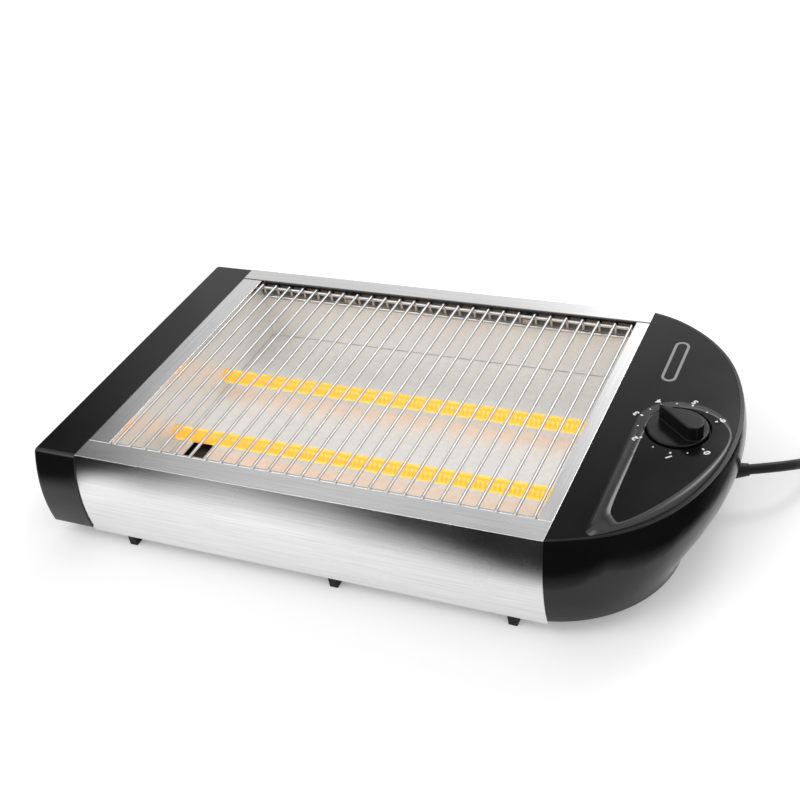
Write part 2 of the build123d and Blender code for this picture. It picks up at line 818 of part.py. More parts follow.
# Brackets: one upright sheet at each end, bored for both holders and footed on the base
bracket_top = z_tube + holder_diameter / 2 + bracket_margin
bracket_half = tube_spacing / 2 + holder_diameter / 2 + bracket_margin
for name, x, way, side in (
    ("left_tube_bracket", tube_left, -1, Side.RIGHT),
    ("right_tube_bracket", tube_right, 1, Side.LEFT),
):
    with BuildPart() as bracket:
        with BuildSketch(across(-bracket_half)):
            corners = ((x, bracket_top), (x, z_floor), (x + way * bracket_foot, z_floor))
            add(folded_sheet(corners, side, bracket_sheet))
        extrude(amount=-2 * bracket_half)
        with BuildSketch(Plane.YZ.offset(x)):
            with Locations((0, z_tube)):
                with GridLocations(tube_spacing, 0, 2, 1):
                    Circle(holder_diameter / 2 + running_gap)
                SlotOverall(tube_spacing / 2, holder_diameter)
        extrude(amount=way * bracket_sheet, mode=Mode.SUBTRACT)
    finish(bracket, name)

# Heat shield between the heating chamber and the timer, notched above the tubes' pins
with BuildPart() as heat_shield:
    shield_x = steel_right + shield_inset
    shield_top = z_floor + shield_height
    with BuildSketch(across(-shield_width / 2)):
        corners = (
            (shield_x, shield_top),
            (shield_x, z_floor),
            (shield_x + bracket_foot, z_floor),
        )
        add(folded_sheet(corners, Side.LEFT))
    extrude(amount=-shield_width)
    with BuildSketch(Plane.YZ.offset(shield_x)):
        with Locations((0, z_tube)):
            with GridLocations(tube_spacing, 0, 2, 1):
                Circle(holder_diameter / 2)
    extrude(amount=sheet, mode=Mode.SUBTRACT)
finish(heat_shield, "heat_shield")

# Thermal cut-out: a disc sensor on the outside of the reflector's right wall
with BuildPart() as thermal_cutout:
    with BuildSketch(Plane.YZ.offset(box_right)):
        with Locations((0, z_tube + holder_diameter / 2)):
            Circle(cutout_diameter / 2)
    extrude(amount=cutout_length / 3)
    with BuildSketch(Plane.YZ.offset(box_right)):
        with Locations((0, z_tube + holder_diameter / 2)):
            Circle(cutout_diameter / 2 - plastic_wall)
    extrude(amount=cutout_length)
finish(thermal_cutout, "thermal_cutout")

# Timer: clockwork case under the cover, its bush through the cover, and a bell below
with BuildPart() as timer_body:
    with BuildSketch(dial.offset(-timer_top)):
        RectangleRounded(timer_length, timer_width, plastic_wall)
    extrude(amount=-timer_depth)
    with BuildSketch(dial.offset(-timer_top)):
        Circle(timer_bush / 2)
    extrude(amount=timer_top - well_depth + fit_gap)
    with BuildSketch(dial):
        Circle(shaft_diameter / 2 + running_gap)
    extrude(amount=-shaft_depth - fit_gap, mode=Mode.SUBTRACT)
    with BuildSketch(dial.offset(-timer_top)):
        with GridLocations(0, timer_screw_spacing, 1, 2):
            Circle(timer_screw / 2 + running_gap)
    extrude(amount=-timer_screw_length, mode=Mode.SUBTRACT)
finish(timer_body, "timer_body")

with BuildPart() as timer_bell:
    with BuildSketch(dial.offset(-timer_top - timer_depth)):
        Circle(bell_radius)
    extrude(amount=-bell_radius / 2, taper=bell_taper)
    with BuildSketch(dial.offset(-timer_top - timer_depth)):
        Circle(bell_radius - bell_wall)
    extrude(amount=bell_wall - bell_radius / 2, taper=bell_taper, mode=Mode.SUBTRACT)
finish(timer_bell, "timer_bell")

with BuildPart() as timer_screws:
    with BuildSketch(dial.offset(-well_depth)):
        with GridLocations(0, timer_screw_spacing, 1, 2):
            Circle(timer_screw)
    extrude(amount=-timer_screw / 2, taper=45)
    with BuildSketch(dial.offset(-well_depth)):
        with GridLocations(0, timer_screw_spacing, 1, 2):
            Circle(timer_screw / 2)
    extrude(amount=-timer_screw_length)
finish(timer_screws, "timer_screws")

with BuildPart() as timer_shaft:
    with BuildSketch(dial.offset(-shaft_depth)):
        Circle(shaft_diameter / 2)
    extrude(amount=shaft_depth + shaft_in_knob)
finish(timer_shaft, "timer_shaft")

# Knob: skirt over the well, and a grip that runs from a round end to a narrow one
with BuildSketch() as grip_outline:
    with BuildLine():
        tip = knob_radius - knob_edge - knob_lift
        round_x = grip_radius - tip
        lean = asin(grip_radius / (tip - round_x))
        upper = (round_x + grip_radius * sin(lean), grip_radius * cos(lean))
        lower = (upper[0], -upper[1])
        Line((tip, 0), upper)
        ThreePointArc(upper, (round_x - grip_radius, 0), lower)
        Line(lower, (tip, 0))
    make_face()
    fillet(vertices().sort_by(Axis.X)[-1], knob_edge)

with BuildPart() as timer_knob:
    knob_bottom = knob_lift - well_depth
    with BuildSketch(dial.offset(knob_bottom)):
        Circle(knob_radius)
    extrude(amount=knob_skirt, taper=5)
    fillet(timer_knob.edges().sort_by(Axis.Z)[-1], knob_edge)
    with BuildSketch(dial.offset(knob_bottom)):
        add(grip_outline.sketch, rotation=grip_angle)
    extrude(amount=knob_skirt + grip_height)
    fillet(timer_knob.faces().sort_by(Axis.Z)[-1].edges(), knob_edge)
    with BuildSketch(dial.offset(knob_bottom)):
        Circle(knob_radius - knob_wall)
        Circle(shaft_diameter / 2 + knob_wall, mode=Mode.SUBTRACT)
    extrude(amount=knob_skirt - knob_wall, mode=Mode.SUBTRACT)
    with BuildSketch(dial.offset(knob_bottom)):
        Circle(shaft_diameter / 2 + running_gap)
    extrude(amount=shaft_in_knob - knob_bottom, mode=Mode.SUBTRACT)
finish(timer_knob, "timer_knob")

# Terminal block on the base plate, bored for the three cores of the mains lead
block_y = block_inset - half_depth
with BuildPart() as terminal_block:
    with BuildSketch(Plane((steel_right + block_x, block_y, z_floor))):
        Rectangle(block_width, block_length)
    extrude(amount=block_height)
    with BuildSketch(Plane.YZ.offset(steel_right + block_x - block_width / 2)):
        with Locations((block_y, z_floor + block_height / 2)):
            with GridLocations(core_spacing, 0, 3, 1):
                Circle(core_bore / 2)
    extrude(amount=block_width, mode=Mode.SUBTRACT)
finish(terminal_block, "terminal_block")

# Strain relief: waisted grommet in the gland, with a tapered sleeve outside
with BuildPart() as strain_relief:
    with BuildSketch(gland.offset(-gland_length - relief_flange_thickness)):
        Circle(relief_lock / 2)
    extrude(amount=relief_flange_thickness)
    with BuildSketch(gland.offset(-gland_length)):
        Circle(relief_neck / 2)
    extrude(amount=gland_length)
    with BuildSketch(gland):
        Circle(relief_flange / 2)
    extrude(amount=relief_flange_thickness)
    with BuildSketch(gland.offset(relief_flange_thickness)) as relief_base:
        Circle(relief_root / 2)
    with BuildSketch(gland.offset(relief_outside)) as relief_end:
        Circle(relief_tip / 2)
    loft([relief_base.sketch.face(), relief_end.sketch.face()])
finish(strain_relief, "strain_relief")

# Cord from the strain relief down to the table: straight runs joined by tangent arcs
cord_z = cord_diameter / 2 + cord_lift
cord_start = gland.offset(relief_outside).origin
cord_route = [
    (cord_start.X, cord_start.Y, exit_z),
    (steel_right + 94.7, 31.6, exit_z),
    (steel_right + 105.9, 42.4, 18.1),
    (steel_right + 113.2, 56.1, 11.2),
    (steel_right + 116.5, 71.8, 5.7),
    (steel_right + cord_lane, 87.7, cord_z),
    (steel_right + cord_lane, 99.7, cord_z),
]
cord_points = [Vector(*point) for point in cord_route]
cord_runs = [b - a for a, b in zip(cord_points, cord_points[1:])]
cord_radii = []
for run, next_run in zip(cord_runs, cord_runs[1:]):
    half_turn = radians(run.get_angle(next_run)) / 2
    cord_radii.append(0.45 * min(run.length, next_run.length) / tan(half_turn))
print("cord runs ", [round(run.length, 1) for run in cord_runs])
print("cord radii", [round(radius, 1) for radius in cord_radii])
with BuildPart() as power_cord:
    with BuildLine() as cord_line:
        FilletPolyline(*cord_points, radius=cord_radii)
    with BuildSketch(gland.offset(relief_outside)):
        Circle(cord_diameter / 2)
    sweep(path=cord_line.wires()[0])
cord_length = cord_line.wires()[0].length
cord_section = pi * (cord_diameter / 2) ** 2
print("cord length", round(cord_length, 1), "volume", round(power_cord.part.volume / cord_section, 1))
finish(power_cord, "power_cord")

# Coil of put-away cord: one tube that spirals in on the table and out again on top
coil_pitch = cord_diameter + coil_gap
coil_inner = coil_middle - coil_pitch * coil_turns / 4
coil_outer = coil_middle + coil_pitch * coil_turns / 4
coil_entry = cord_points[-1]
coil_x = coil_entry.X + coil_outer
coil_y = coil_entry.Y + cord_diameter


def coil_point(turns):
    """Point of the coil's middle line after so many clockwise turns from its left."""
    from_reversal = turns - coil_turns / 2
    reach = coil_inner + coil_pitch * abs(from_reversal)
    angle = pi - 2 * pi * turns
    climbed = min(max(2 * from_reversal + 0.5, 0), 1)
    height = cord_z + coil_pitch * climbed**2 * (3 - 2 * climbed)
    return Vector(coil_x + reach * cos(angle), coil_y + reach * sin(angle), height)


def coil_heading(turns):
    """Direction of the coil's middle line, level where it meets its straight ends."""
    if turns in (0, coil_turns):
        angle = pi / 2 - 2 * pi * turns
        return Vector(cos(angle), sin(angle), 0)
    return (coil_point(turns + coil_step) - coil_point(turns - coil_step)).normalized()


def biarc(start, start_heading, end, end_heading):
    """Two arcs that leave start and reach end along the given headings."""
    gap = end - start
    both = gap.dot(start_heading + end_heading)
    spread = 2 * (1 - start_heading.dot(end_heading))
    reach = (sqrt(both**2 + spread * gap.dot(gap)) - both) / spread
    before, after = start + start_heading * reach, end - end_heading * reach
    joint = (before + after) * 0.5
    TangentArc(start, joint, tangent=start_heading)
    TangentArc(joint, end, tangent=after - before)


quarters = [k / 4 for k in range(int(4 * coil_turns) + 1)]
coil_exit = coil_point(coil_turns)
coil_end = coil_exit + coil_heading(coil_turns) * coil_tail
with BuildPart() as cord_coil:
    with BuildLine() as coil_line:
        Line(coil_entry, coil_point(0))
        for begin, end in zip(quarters, quarters[1:]):
            turn_ends = coil_point(begin), coil_point(end)
            biarc(turn_ends[0], coil_heading(begin), turn_ends[1], coil_heading(end))
        Line(coil_exit, coil_end)
    with BuildSketch(Plane(coil_entry, z_dir=(0, 1, 0))):
        Circle(cord_diameter / 2)
    sweep(path=coil_line.wires()[0])
coil_length = coil_line.wires()[0].length
print("coil length", round(coil_length, 1), "volume", round(cord_coil.part.volume / cord_section, 1))
coil_samples = [coil_line.wires()[0] @ (k / coil_checks) for k in range(coil_checks + 1)]
apart = int(coil_checks * coil_middle / coil_length)
gaps = [(b - a).length for k, a in enumerate(coil_samples) for b in coil_samples[k + apart :]]
print("least gap between turns", round(min(gaps) - cord_diameter, 2))
finish(cord_coil, "cord_coil")

# Plug: a round moulded plug on its back, with the cord leaving at its side
plug_tail_end = coil_end + coil_heading(coil_turns) * plug_tail
plug_sink = sqrt((plug_base_diameter / 2) ** 2 - (plug_tail_root / 2) ** 2)
plug_y = plug_tail_end.Y - plug_sink
plug_bottom = Plane((coil_end.X, plug_y, cord_lift))
plug_shoulder = plug_bottom.offset(plug_base_height)
plug_top = plug_shoulder.offset(plug_face_height)


def earth_strips(gap):
    """Two upright strips, grown by the gap, flush with the round of the plug's face."""
    with BuildPart() as strips:
        with BuildSketch(plug_shoulder):
            Circle(plug_face_diameter / 2)
            Circle(plug_face_diameter / 2 - sheet, mode=Mode.SUBTRACT)
            Rectangle(plug_strip_width + 2 * gap, plug_face_diameter, mode=Mode.INTERSECT)
        extrude(amount=plug_face_height - 2 * sheet + gap)
    return strips.part


with BuildPart() as plug_body:
    with BuildSketch(Plane(coil_end, z_dir=(0, -1, 0))) as tail_tip:
        Circle(plug_tail_tip / 2)
    with BuildSketch(Plane(plug_tail_end, z_dir=(0, -1, 0))) as tail_root:
        Circle(plug_tail_root / 2)
    loft([tail_tip.sketch.face(), tail_root.sketch.face()])
    with BuildSketch(Plane(plug_tail_end, z_dir=(0, -1, 0))):
        Circle(plug_tail_root / 2)
    extrude(amount=plug_sink)
    with BuildSketch(plug_bottom):
        Circle(plug_base_diameter / 2)
    extrude(amount=plug_base_height)
    with BuildSketch(plug_shoulder):
        Circle(plug_face_diameter / 2)
        with GridLocations(plug_face_diameter, 0, 2, 1):
            Rectangle(2 * plug_notch_depth, plug_notch_width, mode=Mode.SUBTRACT)
    extrude(amount=plug_face_height)
    with BuildSketch(plug_top):
        with GridLocations(plug_pin_spacing, 0, 2, 1):
            Circle(plug_shank_diameter / 2 + running_gap)
    extrude(amount=-plug_pin_sunk, mode=Mode.SUBTRACT)
    with BuildSketch(plug_top):
        with Locations((0, plug_earth_offset)):
            Circle(plug_pin_diameter / 2 + running_gap)
    extrude(amount=-plug_face_height, mode=Mode.SUBTRACT)
    add(earth_strips(running_gap), mode=Mode.SUBTRACT)
finish(plug_body, "plug_body")

with BuildPart() as plug_pins:
    with BuildSketch(plug_top.offset(-plug_pin_sunk)):
        with GridLocations(plug_pin_spacing, 0, 2, 1):
            Circle(plug_shank_diameter / 2)
    extrude(amount=plug_pin_sunk + fit_gap)
    with BuildSketch(plug_top.offset(fit_gap)):
        with GridLocations(plug_pin_spacing, 0, 2, 1):
            Circle(plug_pin_diameter / 2)
    extrude(amount=plug_pin_length - fit_gap)
    fillet(plug_pins.edges().group_by(Axis.Z)[-1], plug_pin_diameter / 4)
finish(plug_pins, "plug_pins")

with BuildPart() as plug_earth_strips:
    add(earth_strips(0))
finish(plug_earth_strips, "plug_earth_strips")
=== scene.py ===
import json
from math import cos, pi, radians, sin, sqrt, tan

import bmesh
import bpy
from mathutils import Matrix, Vector
from mathutils.bvhtree import BVHTree

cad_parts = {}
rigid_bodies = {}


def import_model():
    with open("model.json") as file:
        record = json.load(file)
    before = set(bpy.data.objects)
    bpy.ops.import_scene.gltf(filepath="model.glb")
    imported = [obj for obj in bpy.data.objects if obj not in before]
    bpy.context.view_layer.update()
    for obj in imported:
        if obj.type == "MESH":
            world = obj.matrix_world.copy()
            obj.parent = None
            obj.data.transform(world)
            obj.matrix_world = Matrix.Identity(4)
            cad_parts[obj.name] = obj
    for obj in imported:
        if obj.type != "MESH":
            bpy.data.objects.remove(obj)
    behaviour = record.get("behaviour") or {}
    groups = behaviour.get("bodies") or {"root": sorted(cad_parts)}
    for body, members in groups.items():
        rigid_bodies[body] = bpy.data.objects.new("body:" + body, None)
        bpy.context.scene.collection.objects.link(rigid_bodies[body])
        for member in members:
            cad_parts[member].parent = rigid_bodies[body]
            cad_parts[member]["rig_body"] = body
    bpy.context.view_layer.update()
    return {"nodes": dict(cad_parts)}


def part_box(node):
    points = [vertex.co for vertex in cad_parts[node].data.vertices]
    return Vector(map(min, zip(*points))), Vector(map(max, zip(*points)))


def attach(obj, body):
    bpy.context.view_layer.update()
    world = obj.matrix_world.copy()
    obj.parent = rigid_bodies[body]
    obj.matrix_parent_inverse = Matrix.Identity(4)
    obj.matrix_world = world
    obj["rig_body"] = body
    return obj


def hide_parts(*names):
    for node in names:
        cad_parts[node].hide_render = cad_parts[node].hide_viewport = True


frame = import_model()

# Flat open-rack toaster, dressed on its CAD frame. Sizes are in metres, and places are
# worked out from the CAD nodes' boxes.
nodes = frame["nodes"]

MM = 0.001

# Camera, as the photograph was taken
camera_place = Vector((0.3236, -0.5972, 0.5304))
camera_azimuth = radians(28.91)
camera_elevation = radians(34.78)
camera_roll = radians(-9.22)
camera_lens, camera_sensor = 58.4, 36

# Body sizes that the dressing needs
steel_right = 129.5 * MM
half_depth = 116 * MM
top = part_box("front_panel")[1].z
cover_slope = radians(3.6)
dial_reach = 43.5 * MM
slope_reach = 27 * MM
dial_place = Vector((steel_right + dial_reach, 0, top - slope_reach * tan(cover_slope)))
dial_turn = Matrix.Rotation(cover_slope, 4, "Y")
ray_height = 20 * MM

# Mains lead
cord_diameter = 6.3 * MM
cord_gap = 0.6 * MM
cord_bed = cord_diameter / 2 + 0.15 * MM
coil_turns = 3.5
coil_middle = 35 * MM
coil_tail = 26 * MM
points_per_turn = 16
cord_curve_order = 3
cord_route = (  # places past the seam, in mm, down to the table
    (79.908, 25.619, 22),
    (94.7, 31.6, 22),
    (105.9, 42.4, 18.1),
    (113.2, 56.1, 11.2),
    (116.5, 71.8, 5.7),
)
cord_landing = (117.1 * MM, 87.7 * MM)
cord_straight = 12 * MM


def linear(red, green, blue):
    """Linear colour from sRGB values between 0 and 1."""
    def channel(value):
        return value / 12.92 if value <= 0.04045 else ((value + 0.055) / 1.055) ** 2.4
    return channel(red), channel(green), channel(blue), 1.0


def grey(value):
    return linear(value, value, value)


def link(obj):
    bpy.context.scene.collection.objects.link(obj)
    return obj


def new_material(name, colour, roughness, metallic=0.0, **sockets):
    """Principled material with constants on the shader's own sockets."""
    material = bpy.data.materials.new(name)
    material.use_nodes = True
    shader = material.node_tree.nodes["Principled BSDF"]
    shader.inputs["Base Color"].default_value = colour
    shader.inputs["Roughness"].default_value = roughness
    shader.inputs["Metallic"].default_value = metallic
    for socket, value in sockets.items():
        shader.inputs[socket.replace("_", " ")].default_value = value
    return material


def add_node(material, kind, **inputs):
    node = material.node_tree.nodes.new(kind)
    for name, value in inputs.items():
        node.inputs[name.replace("_", " ")].default_value = value
    return node


def join(material, source, target):
    material.node_tree.links.new(source, target)


def noise(material, scale, stretch, detail):
    """Noise in the object's own coordinates, stretched along its axes."""
    place = add_node(material, "ShaderNodeTexCoord")
    mapping = add_node(material, "ShaderNodeMapping", Scale=stretch)
    texture = add_node(material, "ShaderNodeTexNoise", Scale=scale, Detail=detail)
    join(material, place.outputs["Object"], mapping.inputs["Vector"])
    join(material, mapping.outputs["Vector"], texture.inputs["Vector"])
    return texture.outputs["Fac"]


def ramp(material, value, *stops):
    """Colour ramp over a value: each stop is a place and a colour."""
    node = add_node(material, "ShaderNodeValToRGB")
    elements = node.color_ramp.elements
    elements[0].position, elements[0].color = stops[0]
    elements[1].position, elements[1].color = stops[-1]
    for place, colour in stops[1:-1]:
        elements.new(place).color = colour
    join(material, value, node.inputs["Fac"])
    return node.outputs["Color"]


def spread(material, value, low, high):
    """The value's middle range mapped to low and high."""
    node = add_node(
        material, "ShaderNodeMapRange", From_Min=0.3, From_Max=0.7, To_Min=low, To_Max=high
    )
    join(material, value, node.inputs["Value"])
    return node.outputs["Result"]


def bump(material, height, distance, strength=1.0, edge=0.0):
    """Surface relief in the normals, over edges that look rounded by the given radius."""
    shader = material.node_tree.nodes["Principled BSDF"]
    relief = add_node(material, "ShaderNodeBump", Strength=strength, Distance=distance)
    join(material, height, relief.inputs["Height"])
    if edge:
        rounding = add_node(material, "ShaderNodeBevel", Radius=edge)
        join(material, rounding.outputs["Normal"], relief.inputs["Normal"])
    join(material, relief.outputs["Normal"], shader.inputs["Normal"])


def shader_input(material, name):
    return material.node_tree.nodes["Principled BSDF"].inputs[name]


even = (1, 1, 1)
brush_scale, brush_depth, brush_strength = 2200, 0.01 * MM, 0.2
cloud_scale = 14
handling_scale = 22
grain_depth, grain_strength = 0.01 * MM, 0.3


def brighter(colour, factor):
    return tuple(min(1, channel * factor) for channel in colour[:3]) + (1,)


def brushed_steel(name, dark, light, roughness, stretch, edge=0.4 * MM, metallic=1.0):
    """Steel sheet with fine lines along the direction that the stretch makes long."""
    material = new_material(name, light, roughness, metallic)
    lines = noise(material, brush_scale, stretch, 3)
    cloud = noise(material, cloud_scale, even, 2)
    colour = ramp(material, lines, (0.3, dark), (0.7, light))
    gloss = spread(material, cloud, roughness - 0.05, roughness + 0.06)
    join(material, colour, shader_input(material, "Base Color"))
    join(material, gloss, shader_input(material, "Roughness"))
    bump(material, lines, brush_depth, brush_strength, edge)
    return material


def moulded_plastic(name, colour, roughness, grain, edge=0.5 * MM, **sockets):
    """Moulded plastic with a fine grain and faint handling marks in its gloss."""
    material = new_material(name, colour, roughness, 0.0, **sockets)
    fine = noise(material, grain, even, 2)
    marks = noise(material, handling_scale, even, 5)
    tint = ramp(material, marks, (0.35, colour), (0.75, brighter(colour, 1.5)))
    gloss = spread(material, marks, roughness - 0.03, roughness + 0.05)
    join(material, tint, shader_input(material, "Base Color"))
    join(material, gloss, shader_input(material, "Roughness"))
    bump(material, fine, grain_depth, grain_strength, edge)
    return material


along_x, along_y, along_z = (0.01, 1, 1), (1, 0.01, 1), (1, 1, 0.05)
panel_finish = (grey(0.86), grey(0.94), 0.25, along_x)
materials = {
    "panel": brushed_steel("panel_steel", *panel_finish),
    "rim": brushed_steel("rim_steel", grey(0.86), grey(0.94), 0.24, along_y),
    "sheet": brushed_steel("zinc_sheet", grey(0.6), grey(0.75), 0.42, even),
    "base": moulded_plastic("base_paint", grey(0.1), 0.5, 500),
    "reflector": brushed_steel(
        "bright_reflector", linear(0.95, 0.945, 0.93), linear(0.99, 0.985, 0.975), 0.4,
        (0.1, 0.1, 1), metallic=0.25,
    ),
    "wire": brushed_steel("plated_wire", grey(0.68), grey(0.8), 0.3, (1, 0.05, 1), 0),
    "gloss": moulded_plastic(
        "gloss_black_plastic", grey(0.06), 0.14, 600, Specular_IOR_Level=0.4
    ),
    "cover": moulded_plastic(
        "cover_black_plastic", grey(0.05), 0.16, 600, Specular_IOR_Level=0.15
    ),
    # Painted highlight: the hollow's bevel band is the cover plastic made lighter in colour,
    # standing for the light it catches. Its higher gloss is real.
    "bevel": moulded_plastic(
        "bevel_black_plastic_painted_highlight", grey(0.12), 0.22, 600, Specular_IOR_Level=0.5
    ),
    "satin": moulded_plastic(
        "satin_black_plastic", grey(0.06), 0.22, 900, Specular_IOR_Level=0.25
    ),
    "foot": moulded_plastic("foot_rubber", grey(0.1), 0.6, 700, Specular_IOR_Level=0.25),
    "cord": moulded_plastic("cord_jacket", grey(0.1), 0.42, 500, 0, Specular_IOR_Level=0.3),
    "plug": moulded_plastic("plug_rubber", grey(0.1), 0.45, 700, 1 * MM, Specular_IOR_Level=0.3),
    "ceramic": moulded_plastic("ceramic", linear(0.93, 0.91, 0.85), 0.55, 300),
    "timer": moulded_plastic("timer_case", grey(0.72), 0.4, 400),
    "terminal": moulded_plastic("terminal_plastic", linear(0.9, 0.89, 0.84), 0.35, 400),
    "brass": brushed_steel(
        "brass_bell", linear(0.7, 0.58, 0.3), linear(0.84, 0.72, 0.42), 0.25, along_z
    ),
    "pin": brushed_steel("nickel_pin", grey(0.74), grey(0.86), 0.22, along_z),
    "screw": brushed_steel("zinc_screw", grey(0.6), grey(0.78), 0.35, even),
}


def paint_shade_band(material, tone, **limits):
    """Painted shade band: along each axis the colour darkens from its first to its second limit,
    where the shade of a gap falls.
    """
    colour = shader_input(material, "Base Color")
    place = add_node(material, "ShaderNodeTexCoord")
    parts = add_node(material, "ShaderNodeSeparateXYZ")
    join(material, place.outputs["Object"], parts.inputs["Vector"])
    amount = None
    for axis, (clear, dark) in limits.items():
        fade = add_node(
            material, "ShaderNodeMapRange", From_Min=clear, From_Max=dark, To_Min=1, To_Max=tone
        )
        join(material, parts.outputs[axis], fade.inputs["Value"])
        if amount:
            both = material.node_tree.nodes.new("ShaderNodeMath")
            both.operation = "MAXIMUM"
            join(material, amount, both.inputs[0])
            join(material, fade.outputs["Result"], both.inputs[1])
            amount = both.outputs["Value"]
        else:
            amount = fade.outputs["Result"]
    shade = material.node_tree.nodes.new("ShaderNodeVectorMath")
    shade.operation = "SCALE"
    join(material, colour.links[0].from_socket, shade.inputs[0])
    join(material, amount, shade.inputs["Scale"])
    join(material, shade.outputs["Vector"], colour)


# Painted shade: the rear panel's inner flange and the top of the reflector's rear wall are
# darkened in colour to stand for the shaded gap between the rim and the reflector.
materials["rear_panel"] = brushed_steel("rear_panel_steel_painted_shade", *panel_finish)
paint_shade_band(materials["rear_panel"], 0.12, Y=(104 * MM, 103.2 * MM))
paint_shade_band(materials["reflector"], 0.15, Y=(102 * MM, 103 * MM), Z=(53 * MM, 57 * MM))


def glowing(name, colour, strength):
    """Hot wire that gives light of its own colour."""
    material = new_material(name, colour, 0.5, Emission_Color=colour, Emission_Strength=strength)
    fine = noise(material, 400, even, 2)
    tint = ramp(material, fine, (0.3, colour), (0.7, brighter(colour, 1.35)))
    join(material, tint, shader_input(material, "Emission Color"))
    return material


def quartz_glass():
    """Clear tube. The light it scatters from the heating wire inside is painted into the glass as
    a faint yellow emission.
    """
    painted_glow = linear(1.0, 0.74, 0.22)
    # Painted glow: the glass itself emits, standing for the wire's light scattered in it.
    material = new_material(
        "quartz_glass", linear(1.0, 0.86, 0.5), 0.12,
        Transmission_Weight=0.8, IOR=1.45, Emission_Color=painted_glow, Emission_Strength=0.3,
    )
    cloud = noise(material, 60, (0.2, 1, 1), 3)
    join(material, spread(material, cloud, 0.05, 0.2), shader_input(material, "Roughness"))
    return material


materials["element"] = glowing("glowing_wire", linear(0.95, 0.5, 0.1), 0.8)
materials["quartz"] = quartz_glass()
materials["print"] = moulded_plastic("pale_print", grey(0.82), 0.5, 800, 0)
materials["plate"] = moulded_plastic("plate_line", grey(0.5), 0.5, 800, 0)
finishes = {
    "front_quartz_tube": "quartz", "rear_quartz_tube": "quartz",
    "front_panel": "panel", "rear_panel": "rear_panel", "left_rim": "rim", "right_rim": "rim",
    "left_end_cap": "gloss", "control_housing": "gloss", "control_cover": "gloss",
    "base_plate": "base", "feet": "foot", "base_screws": "screw",
    "reflector": "reflector", "crumb_tray": "reflector", "tray_guides": "sheet",
    "toast_rack": "wire", "rack_rests": "sheet", "tube_holders": "ceramic",
    "left_tube_bracket": "sheet", "right_tube_bracket": "sheet", "heat_shield": "sheet",
    "thermal_cutout": "screw", "timer_body": "timer", "timer_bell": "brass",
    "timer_screws": "screw", "timer_shaft": "screw", "timer_knob": "satin",
    "terminal_block": "terminal", "strain_relief": "plug",
    "plug_body": "plug", "plug_pins": "pin", "plug_earth_strips": "pin",
}
for name, finish in finishes.items():
    nodes[name].data.materials.clear()
    nodes[name].data.materials.append(materials[finish])


def wind_cord():
    """The mains lead's smooth line, from the strain relief through the coil to the plug."""
    route = [(steel_right + x * MM, y * MM, z * MM) for x, y, z in cord_route]
    landing_x, landing_y = steel_right + cord_landing[0], cord_landing[1]
    route.append((landing_x, landing_y, cord_bed))
    route.append((landing_x, landing_y + cord_straight, cord_bed))
    pitch = cord_diameter + cord_gap
    inner = coil_middle - pitch * coil_turns / 4
    outer = coil_middle + pitch * coil_turns / 4
    centre_x = route[-1][0] + outer
    centre_y = route[-1][1] + cord_diameter
    count = int(coil_turns * points_per_turn)
    for k in range(count + 1):
        turns = k / points_per_turn
        from_reversal = turns - coil_turns / 2
        reach = inner + pitch * abs(from_reversal)
        climbed = min(max(2 * from_reversal + 0.5, 0), 1)
        height = cord_bed + pitch * climbed**2 * (3 - 2 * climbed)
        angle = pi - 2 * pi * turns
        route.append((centre_x + reach * cos(angle), centre_y + reach * sin(angle), height))
    end_x, end_y, end_z = route[-1]
    route.append((end_x, end_y - coil_tail / 2, end_z))
    route.append((end_x, end_y - coil_tail, end_z))
    curve = bpy.data.curves.new("mains_lead", "CURVE")
    curve.dimensions = "3D"
    spline = curve.splines.new("NURBS")
    spline.points.add(len(route) - 1)
    for point, place in zip(spline.points, route):
        point.co = (*place, 1)
    spline.order_u = cord_curve_order
    spline.use_endpoint_u = True
    spline.resolution_u = 8
    curve.bevel_depth = cord_diameter / 2
    curve.bevel_resolution = 5
    curve.materials.append(materials["cord"])
    lead = link(bpy.data.objects.new("mains_lead", curve))
    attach(lead, "housing")
    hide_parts("power_cord", "cord_coil")


wind_cord()


merge_distance = 0.002 * MM
flat_angle = radians(1)
sharp_angle = radians(32)
edge_steps = 3


def soften(name, width, finish):
    """Copy of a CAD node with its sharp edges rounded, shown in the node's place."""
    mesh = bmesh.new()
    mesh.from_mesh(nodes[name].data)
    bmesh.ops.remove_doubles(mesh, verts=mesh.verts, dist=merge_distance)
    bmesh.ops.dissolve_limit(mesh, angle_limit=flat_angle, verts=mesh.verts, edges=mesh.edges)
    data = bpy.data.meshes.new(name + "_finished")
    mesh.to_mesh(data)
    mesh.free()
    data.materials.append(materials[finish])
    piece = link(bpy.data.objects.new(name + "_finished", data))
    rounding = piece.modifiers.new("rounded_edges", "BEVEL")
    rounding.width = width
    rounding.segments = edge_steps
    rounding.angle_limit = sharp_angle
    rounding.use_clamp_overlap = True
    for face in data.polygons:
        face.use_smooth = True
    piece.modifiers.new("even_shading", "WEIGHTED_NORMAL")
    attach(piece, nodes[name]["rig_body"])
    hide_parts(name)


for name, width, finish, slot in (
    ("front_panel", 0.5 * MM, "panel", "steel"),
    ("rear_panel", 0.5 * MM, "rear_panel", "steel"),
    ("left_rim", 0.35 * MM, "rim", "steel"),
    ("right_rim", 0.35 * MM, "rim", "steel"),
    ("left_end_cap", 0.5 * MM, "gloss", "gloss_black"),
    ("control_housing", 0.5 * MM, "gloss", "gloss_black"),
    ("control_cover", 0.3 * MM, "cover", "gloss_black"),
    ("timer_knob", 0.8 * MM, "satin", "satin_black"),
    ("feet", 0.5 * MM, "foot", "foot_rubber"),
    ("plug_body", 1.2 * MM, "plug", "cord_rubber"),
):
    soften(name, width, finish)


# Heating wires: a glowing coil in each quartz tube, with straight pins at its ends
element_radius = 3.0 * MM
element_wire = 0.55 * MM
element_pitch = 3.2 * MM
element_points = 10
element_margin = 3 * element_pitch


